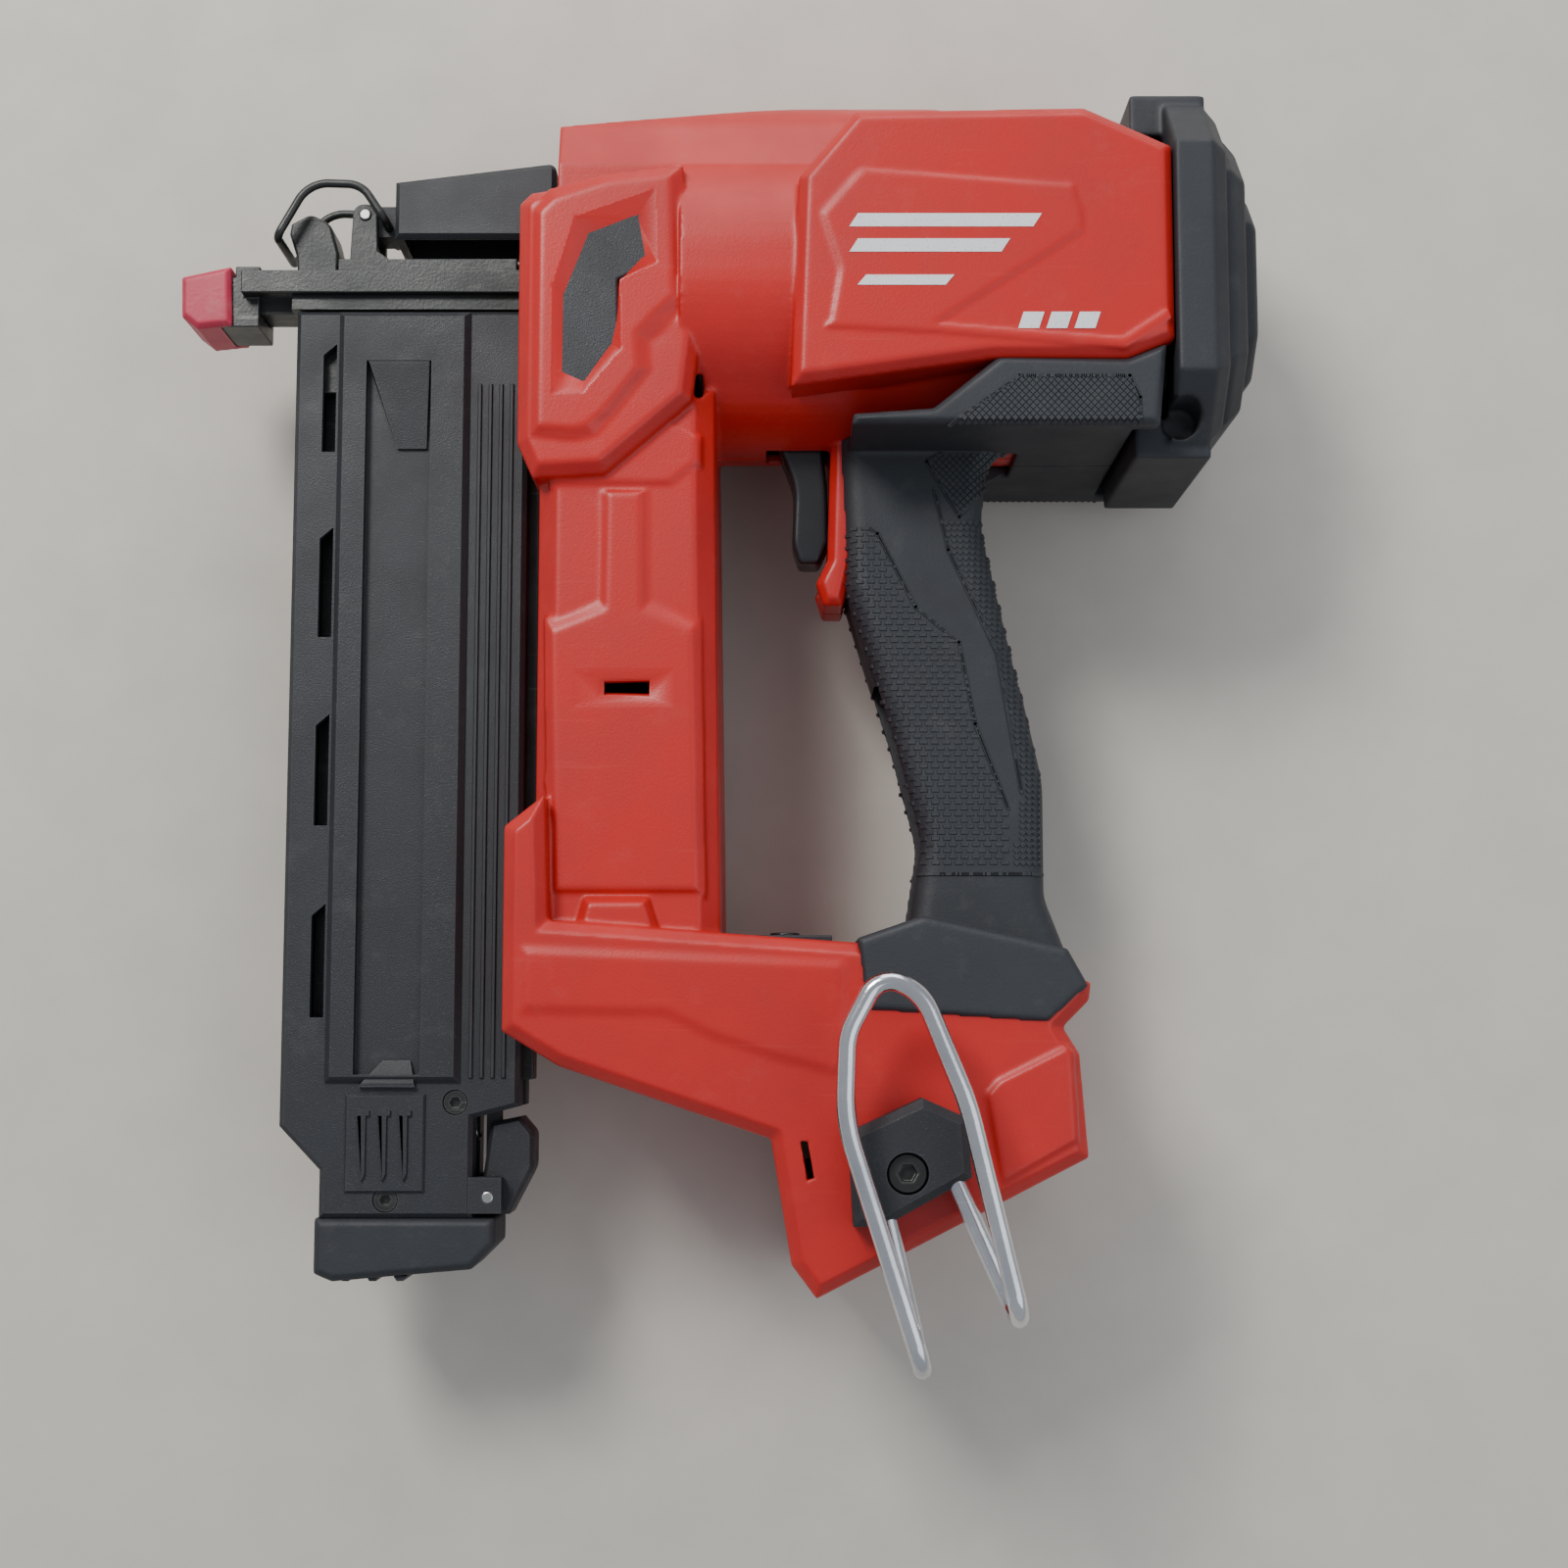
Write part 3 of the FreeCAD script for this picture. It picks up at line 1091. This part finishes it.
# ---------------------------------------------------------------- nose
HINGE = ("-hinge_x", "hinge_y")
LEVER = ("-lever_x", "lever_y")
BAIL = ("-lever_x+5.8", "lever_y-2.5")
BAR = ("-lever_x-22.7", "lever_y-7.3")
EAR_IN = "(nose_half-4.6)"


def build_nose():
    frame = body("nose_frame")
    back = "-front_left+6"
    slab(frame, box("-nose_front+16", back, "-nose_low", "nose_top"), "-nose_half", "nose_half")
    slab(frame, box(back + "-1", "tank_front", "-nose_low", "nose_top"), "channel_up+0.2", "nose_half")
    slab(frame, box("-nose_front", "-nose_front+17", "-3.2", "3.2"), "-channel_down-0.9", "channel_up+0.9")
    slab(frame, [
        (HINGE[0] + "-4", "nose_top-1"),
        (HINGE[0] + "-4", HINGE[1] + "+3", "2.5"),
        (HINGE[0] + "+4", HINGE[1] + "+3", "2.5"),
        (HINGE[0] + "+4", "nose_top-1"),
    ], "-nose_half", "nose_half")
    slab(frame, box(HINGE[0] + "-5", HINGE[0] + "+5", "nose_top", HINGE[1] + "+4"), "-" + EAR_IN, EAR_IN, cut=True)
    disc(frame, HINGE, "pin_small", "-nose_half-1", "nose_half+1", cut=True)
    slab(frame, box("-nose_front+15", "tank_front", "-channel_half", "channel_half"),
         "-channel_down", "channel_up", cut=True)
    slab(frame, box("-nose_front+26.5", HINGE[0] + "-10", "0", "nose_top+1"), "-channel_down", "channel_up", cut=True)
    slab(frame, box("-nose_front-1", "-nose_front+16", "-channel_half", "channel_half"), "-0.95", "0.95", cut=True)
    slab(frame, box("-30-brad_long", "-29.5", "-nose_low-1", "0"), "-brad_slot*0.5", "brad_slot*0.5", cut=True)
    slab(frame, box("-front_left+19", "-front_left+24", "0", "nose_top"), "nose_half-0.5", "nose_half+3.4")
    hook = form("hook_plate", [
        ("-nose_front+16.5", "nose_top"),
        ("-nose_front+16", "nose_top+8"),
        (BAR[0] + "+2.2", BAR[1] + "+2.6"),
        (BAR[0] + "+2.6", BAR[1] + "+5.4"),
        ("-nose_front+19.5", "nose_top+19.8", "3"),
        ("-nose_front+25", "nose_top+17", "4"),
        ("-nose_front+27.2", "nose_top+9"),
        ("-nose_front+27.2", "nose_top"),
    ], "-6.5", "6.5", "0.6")
    keep("nose_frame", joined("nose_frame_whole", [frame, hook]))

    door = body("nose_door")
    slab(door, box("-nose_front+28", HINGE[0], "nose_top", "nose_top+door_thick"), "-nose_half+0.5", "nose_half-0.5")
    slab(door, box(HINGE[0] + "-4.6", HINGE[0] + "+1", "nose_top-1", "nose_top+door_thick+1"),
         EAR_IN + "-0.3", "nose_half", cut=True)
    slab(door, box(HINGE[0] + "-4.6", HINGE[0] + "+1", "nose_top-1", "nose_top+door_thick+1"),
         "-nose_half", "-" + EAR_IN + "+0.3", cut=True)
    disc(door, HINGE, "3.2", "-" + EAR_IN + "+0.3", EAR_IN + "-0.3")
    slab(door, box("-nose_front+28", HINGE[0] + "-13", "channel_half+0.1", "nose_top+1"),
         "-channel_down+0.2", "channel_up-0.2")
    for low, high in (("5", "8"), ("-8", "-5")):
        slab(door, [
            (LEVER[0] + "-4", "nose_top+door_thick-1"),
            (LEVER[0] + "-3.2", LEVER[1] + "+3", "2.8"),
            (LEVER[0] + "+3", LEVER[1] + "+3", "2.8"),
            (LEVER[0] + "+3.4", "nose_top+door_thick+3"),
            (LEVER[0] + "+9", "nose_top+door_thick-1"),
        ], low, high)
    disc(door, LEVER, "pin_small", "-9", "9", cut=True)
    disc(door, HINGE, "pin_small+run_gap", "-9", "9", cut=True)
    keep("nose_door", door)

    lever = body("jam_lever")
    slab(lever, [
        (LEVER[0] + "+8.2", LEVER[1] + "-7"),
        (LEVER[0] + "+8.2", LEVER[1] + "+8.5"),
        ("-front_left+6.5", LEVER[1] + "+13.8", "2"),
        ("-front_left+6.5", LEVER[1] + "-3"),
        ("-front_left-3", LEVER[1] + "-7"),
    ], "-lever_half", "lever_half")
    bevel(lever, "1.2", at_height("lever_half"))
    slab(lever, box(LEVER[0] + "+10.5", "-front_left+3", LEVER[1] + "-8", LEVER[1] + "+6"),
         "-lever_half+2", "lever_half-2", cut=True)
    slab(lever, box(LEVER[0], LEVER[0] + "+9", LEVER[1] + "-5", LEVER[1] + "+3.4"), "-4.7", "4.7")
    disc(lever, LEVER, "3.4", "-4.7", "4.7")
    disc(lever, LEVER, "pin_small+run_gap", "-5", "5", cut=True)
    disc(lever, BAIL, "wire_thin+run_gap", "-5", "5", cut=True)
    keep("jam_lever", lever)
    pin = body("lever_pin")
    disc(pin, LEVER, "pin_small", "-8.6", "8.6")
    keep("lever_pin", pin)

    leg = val("lever_half+wire_thin+0.5")
    spots = [(BAIL, 3), (BAIL, leg), ((LEVER[0] + "-0.5", LEVER[1] + "+7"), leg),
             ((LEVER[0] + "-14.5", LEVER[1] + "+7.5"), leg), (BAR, leg)]
    half = [V(val(x), val(y), z) for (x, y), z in spots]
    points = half + [V(p.x, p.y, -p.z) for p in reversed(half)]
    bends = [2.2, 7, 9, 2.2]
    bent_wire("latch_bail", points, bends + bends[::-1], val("wire_thin"))

    arm = body("contact_arm")
    slab(arm, box("-nose_front-5", "-nose_front+7", "-7.5", "9"), "-8.5", "9")
    slab(arm, box("-nose_front+3", "-nose_front+7", "0.5", "nose_top+2"), "-nose_half-2.4", "nose_half+2.4")
    for low, high in (("nose_half+slide_gap", "nose_half+2.4"), ("-nose_half-2.4", "-nose_half-slide_gap")):
        slab(arm, box("-nose_front+3", "-front_left+1", "0.5", "nose_top+2"), low, high)
    slab(arm, box("-nose_front-6", "-nose_front+8", "-3.2-slide_gap", "3.2+slide_gap"),
         "-channel_down-0.9-slide_gap", "channel_up+0.9+slide_gap", cut=True)
    slab(arm, box("-nose_front-6", "-nose_front+0.5", "6", "10"), "-9", "10", cut=True)
    keep("contact_arm", arm)

    tip = body("no_mar_tip")
    slab(tip, [
        ("-nose_front-13.5", "5.7"),
        ("-nose_front-0.4", "8.6"),
        ("-nose_front+0.2", "-7.4"),
        ("-nose_front-9", "-8.4"),
        ("-nose_front-13.2", "-5.1"),
    ], "-10.5", "11")
    slab(tip, box("-nose_front-5", "-nose_front+1", "-7.5", "6"), "-8.5", "9", cut=True)
    slab(tip, box("-nose_front-10", "-nose_front-4", "-3.5", "3.5"), "-5.7", "6.2", cut=True)
    slab(tip, box("-nose_front-14", "-nose_front-9", "-1.6", "1.6"), "-1.6", "1.6", cut=True)
    bevel(tip, "1.2", at_height("11"))
    keep("no_mar_tip", tip)
    spring("contact_spring", V(-val("front_left") + 1, 2.6, val("nose_half") + 1.6), V(1, 0, 0), 1.2, 0.25, 6, 18)


# ---------------------------------------------------------------- magazine
def build_magazine():
    rear = "-front_left+2.5"
    track = body("magazine_track")
    slab(track, box("-26-brad_long", rear, TRACK_TOP + "-track_long", TRACK_TOP), "-track_half", "track_half")
    slab(track, box("-31-brad_long", "-29.5", TRACK_TOP + "-track_long-1", TRACK_TOP + "+1"),
         "-brad_slot*0.5", "brad_slot*0.5", cut=True)
    slab(track, box("-latch_x-11", "-29.4", TRACK_TOP + "-track_long-1", TRACK_TOP + "-track_long+16"),
         "-track_half-1", "track_half+1", cut=True)
    slab(track, box("-29.6", "-24", "-latch_drop+31.5", "-latch_drop+37.5"), "-2.5", "2.5", cut=True)
    keep("magazine_track", track)

    half = body("cover_half_form")
    slab(half, [
        ("-cover_front", COVER_TOP),
        ("-cover_rear", COVER_TOP),
        ("-cover_rear", COVER_END + "+28"),
        ("-latch_x-4", COVER_END + "+25"),
        ("-latch_x-4", COVER_END),
        ("-cover_front+10.5", COVER_END),
        ("-cover_front+10.5", COVER_END + "+12"),
        ("-cover_front", COVER_END + "+23"),
    ], "0", "cover_half")
    bevel(half, "1.2", at_height("cover_half"))
    slab(half, box("-cover_front+11.5", "-cover_front+46", COVER_END + "+34", COVER_TOP + "-0.6"),
         "cover_half-1", "cover_half+panel_raise")
    bevel(half, "1.5", at_height("cover_half+panel_raise"))
    slab(half, [
        ("-cover_front+19", COVER_TOP + "-14"),
        ("-cover_front+36", COVER_TOP + "-14"),
        ("-cover_front+36", COVER_END + "+36"),
        ("-cover_front+19", COVER_END + "+36"),
    ], "cover_half-0.8", "cover_half+panel_raise+1", cut=True)
    slab(half, box("-cover_front+2", "-cover_rear-2.8", COVER_END + "+31", COVER_TOP + "+1"),
         "-1", "cover_half-cover_wall", cut=True)
    slab(half, box("-cover_rear-3", "-cover_rear+1", COVER_END + "+27", COVER_TOP + "+1"),
         "-1", "track_half+slide_gap", cut=True)
    slab(half, box("-latch_x-11", "-cover_rear+1", COVER_END + "-1",
                   COVER_END + "+32"), "-1", "3.5", cut=True)
    window = slab(half, [
        ("-cover_front+7.3", COVER_TOP + "-12"),
        ("-cover_front+10.8", COVER_TOP + "-9"),
        ("-cover_front+10.8", COVER_TOP + "-38"),
        ("-cover_front+7.3", COVER_TOP + "-38"),
    ], "cover_half-cover_wall-1", "cover_half+1", cut=True)
    row = half.newObject("PartDesign::LinearPattern", "cover_windows")
    row.Originals = [window]
    row.Direction = (plane_axis(half, "Y_Axis"), [""])
    row.Reversed = True
    row.setExpression("Length", bound("cover_long*0.625"))
    row.Occurrences = 4
    half.Tip = row
    doc.recompute()
    slab(half, box("-latch_x-5", "-latch_x+3.5", "-latch_drop-4", "-latch_drop+5"), "7", "cover_half")
    disc(half, ("-latch_x", "-latch_drop"), "pin_small", "6", "cover_half+1", cut=True)
    for x, y in COVER_SCREWS:
        disc(half, (x, y), "screw_radius+run_gap", "-1", "cover_half", cut=True)
        disc(half, (x, y), "screw_head+0.2", "cover_half-2.6", "cover_half+3", cut=True)
    keep("magazine_cover_left", half)
    keep("magazine_cover_right", mirrored("magazine_cover_right", half))
    heads = [((x, y, "cover_half-2.6"), V(0, 0, 1)) for x, y in COVER_SCREWS]
    fasteners("magazine_screws", heads, "screw_head", "2.2", "screw_radius", "cover_half+6")

    foot = body("magazine_foot")
    slab(foot, [
        ("-cover_front+9.3", COVER_END),
        ("-latch_x+2", COVER_END),
        ("-latch_x+2", COVER_END + "-7"),
        ("-latch_x-4", COVER_END + "-13"),
        ("-cover_front+14", COVER_END + "-16"),
        ("-cover_front+9.3", COVER_END + "-14"),
    ], "-cover_half", "cover_half")
    bevel(foot, "1.5", at_height("cover_half"))
    keep("magazine_foot", foot)

    latch = body("magazine_latch")
    slab(latch, [
        ("-latch_x-3", "-latch_drop-3"),
        ("-latch_x", "-latch_drop+18.5"),
        ("-latch_x+7.5", "-latch_drop+20"),
        ("-latch_x+11", "-latch_drop+16", "3"),
        ("-latch_x+11", "-latch_drop+7", "6"),
        ("-latch_x+5", "-latch_drop-4.6"),
        ("-latch_x-1", "-latch_drop-4.6"),
    ], "-6.6", "6.6")
    bevel(latch, "1", at_height("6.6"))
    slab(latch, box("-latch_x-1.5", "-latch_x+2", "-latch_drop+4", "-latch_drop+35.6"), "-3", "3")
    slab(latch, box("-latch_x+1", "-latch_x+8.4", "-latch_drop+32.4", "-latch_drop+35.6"), "-2.2", "2.2")
    disc(latch, ("-latch_x", "-latch_drop"), "pin_small+run_gap", "-7", "7", cut=True)
    keep("magazine_latch", latch)
    pin = body("latch_pin")
    disc(pin, ("-latch_x", "-latch_drop"), "pin_small", "-cover_half", "cover_half")
    keep("latch_pin", pin)
    spring("latch_spring", V(-val("latch_x") - 11, -val("latch_drop") + 16, 0), V(1, 0, 0), 1.8, 0.3, 4, 8)

    pusher = body("nail_pusher")
    front = "-29.9-brad_long"
    slab(pusher, box(front, "-31", "-nose_low-22", "-nose_low-1.2"), "-brad_slot*0.5+0.1", "brad_slot*0.5-0.1")
    slab(pusher, box(front, front + "+3.6", "-nose_low-22", "-nose_low-4"), "-8.8", "8.8")
    for low, high in (("track_half+0.4", "8.8"), ("-8.8", "-track_half-0.4")):
        slab(pusher, box(front, front + "+38", "-nose_low-22", "-nose_low-4"), low, high)
    keep("nail_pusher", pusher)
    roll = body("pusher_spring")
    disc(roll, (front + "+20", "-nose_low-28.5"), "6", "track_half+0.6", "8.6", bore="4.4")
    keep("pusher_spring", roll)


COVER_SCREWS = [
    ("-latch_x-8.5", COVER_END + "+29"),
    ("-cover_front+27.4", COVER_END + "+4.5"),
]


# ---------------------------------------------------------------- trigger, controls, battery bay, hook
def build_controls():
    trigger = body("trigger")
    slab(trigger, [
        ("trigger_x-5.5", "-trigger_drop+3.5", "1.5"),
        ("trigger_x-8", "-trigger_drop-1", "1.5"),
        ("trigger_x-3.6", "-trigger_drop-12", "20"),
        ("trigger_x-4.2", "-trigger_drop-27.5", "10"),
        ("trigger_x-2.4", "-trigger_drop-32.7", "1.5"),
        ("trigger_x+3", "-trigger_drop-32.7", "1.5"),
        ("trigger_x+5.5", "-trigger_drop-27"),
        ("trigger_x+5.2", "-trigger_drop-14", "20"),
        ("trigger_x+4.2", "-trigger_drop-3"),
        ("trigger_x+4.2", "-trigger_drop+3.5", "2"),
    ], "-trigger_half", "trigger_half")
    bevel(trigger, "1.5", lambda e: e.CenterOfMass.x < val("trigger_x") - 1 and abs(
        abs(e.CenterOfMass.z) - val("trigger_half")) < 1e-3 and e.Length > 4, "Fillet")
    disc(trigger, ("trigger_x", "-trigger_drop"), "pin_small+run_gap", "-trigger_half-1", "trigger_half+1", cut=True)
    keep("trigger", trigger)
    pins = []
    for name, spot, half in (("trigger_pin", ("trigger_x", "-trigger_drop"), "trigger_half+3.9"),
                             ("door_hinge_pin", HINGE, "nose_half+0.5")):
        pin = body(name)
        disc(pin, spot, "pin_small", f"-({half})", half)
        pins.append(pin)
    pack_of("hinge_pins", pins)
    start = V(val("trigger_x") + 5.5, -val("trigger_drop") - 14, 0)
    spring("trigger_spring", start, V(1, 0, 0), 2.2, 0.35, 5, 8)
    switch = form("trigger_switch", box("handle_front+8.3", "handle_front+26", "-barrel_low-29", "-barrel_low-5"),
                  "-handle_half+wall+0.3", "handle_half-wall-0.3", "1")
    keep("trigger_switch", switch)

    panel = body("control_panel")
    slab(panel, box("panel_x-12", "panel_x+12", FOOT_TOP + "-7", FOOT_TOP + "-1.6"), "-12", "12")
    disc(panel, ("panel_x", "0"), "button_radius+0.1", FOOT_TOP + "-5", FOOT_TOP + "+1", "XZ", cut=True)
    keep("control_panel", panel)
    button = body("mode_button")
    disc(button, ("panel_x", "0"), "button_radius", FOOT_TOP + "-3.7", FOOT_TOP + "-0.6", "XZ")
    bevel(button, "0.5", at_height(FOOT_TOP + "-0.6", "y"), "Fillet")
    keep("mode_button", button)

    board = body("control_board")
    slab(board, box("2", "62", "-foot_drop-19.6", "-foot_drop-18"), "-28", "28")
    for x, z in (("12", "-12"), ("12", "12"), ("30", "0")):
        disc(board, (x, z), "6", "-foot_drop-18.5", "-foot_drop-12.5", "XZ")
    keep("control_board", board)

    keep("terminal_block", tilted_box("terminal_block", ("16", "46"), ("bay_deep-7", "bay_deep"), "18"))
    blades = []
    for number in range(4):
        blade = tilted_box(f"terminal_{number}", ("20", "40"), ("bay_deep-13", "bay_deep-7"), "0.4")
        blade.Placement.Base += V(0, 0, 8 * number - 12)
        blades.append(blade)
    pack_of("terminal_blades", blades)

    tubes = []
    for number, (low, high) in enumerate((("foot_half-insert_long", "foot_half"),
                                          ("-foot_half", "-foot_half+insert_long"))):
        tube = body(f"insert_{number}")
        disc(tube, ("hook_x", "-hook_drop"), "insert_radius", low, high, bore="hook_screw+run_gap")
        tubes.append(tube)
    pack_of("threaded_inserts", tubes)
    build_hook()


def build_hook():
    x, y, base = val("hook_x"), -val("hook_drop"), val("foot_half")
    low, high = base + 5.5, base + 19.5
    route = [
        (x - 6, y - 5, low), (x + 3, y - 44.5, low), (x + 3, y - 44.5, high), (x - 15.2, y + 13, high),
        (x - 14.5, y + 33, high), (x - 7, y + 47, high), (x + 3, y + 42.5, high), (x + 13.5, y + 17, high),
        (x + 25.5, y - 33, high), (x + 25.5, y - 33, low), (x + 11, y - 1, low),
    ]
    bends = [6.5, 6.5, 40, 15, 6, 12, 60, 6.5, 6.5]
    wire = bent_wire("belt_hook", [V(*spot) for spot in route], bends, val("hook_wire"))
    block = form("hook_block_form", [
        ("hook_x-14", "-hook_drop+9.5"),
        ("hook_x+3.7", "-hook_drop+17.7"),
        ("hook_x+14.3", "-hook_drop+13"),
        ("hook_x+15.3", "-hook_drop-0.9"),
        ("hook_x-5.8", "-hook_drop-12.5"),
        ("hook_x-12.9", "-hook_drop-12.5"),
    ], "foot_half", "foot_half+9", "2")
    disc(block, ("hook_x", "-hook_drop"), "5", "foot_half+4", "foot_half+10", cut=True)
    disc(block, ("hook_x", "-hook_drop"), "hook_screw+run_gap", "foot_half-1", "foot_half+5", cut=True)
    keep("hook_bracket", less("hook_bracket", block, [wire]))
    seat = ("hook_x", "-hook_drop", "foot_half+4")
    fasteners("hook_screw", [(seat, V(0, 0, 1))], "4.6", "3.2", "hook_screw", "4+insert_long-0.5")


def hand_in():
    """Check every object, stand the model on its origin and write one STEP file for each piece."""
    for made in doc.Objects:
        if "Invalid" in made.State or "Error" in made.State:
            raise RuntimeError(f"{made.Name} did not build: {made.State}")
    whole = FreeCAD.BoundBox()
    for name, made in NODES.items():
        if made.Shape.isNull() or not made.Shape.isValid() or not made.Shape.Solids:
            raise RuntimeError(f"{name} has no valid solid")
        whole.add(made.Shape.BoundBox)
    origin = V(-whole.Center.x, -whole.Center.y, -whole.ZMin)
    os.makedirs("parts", exist_ok=True)
    for name, made in NODES.items():
        piece = made.Shape.copy()
        piece.translate(origin)
        piece.exportStep(f"parts/{name}.step")
    print(f"{len(NODES)} pieces, moved by {origin}, {whole.XLength:.1f} x {whole.YLength:.1f} x {whole.ZLength:.1f}")


build_covers(*build_housing())
build_drive()
build_lifter()
build_gears()
build_motor()
build_nose()
build_magazine()
build_controls()
hand_in()
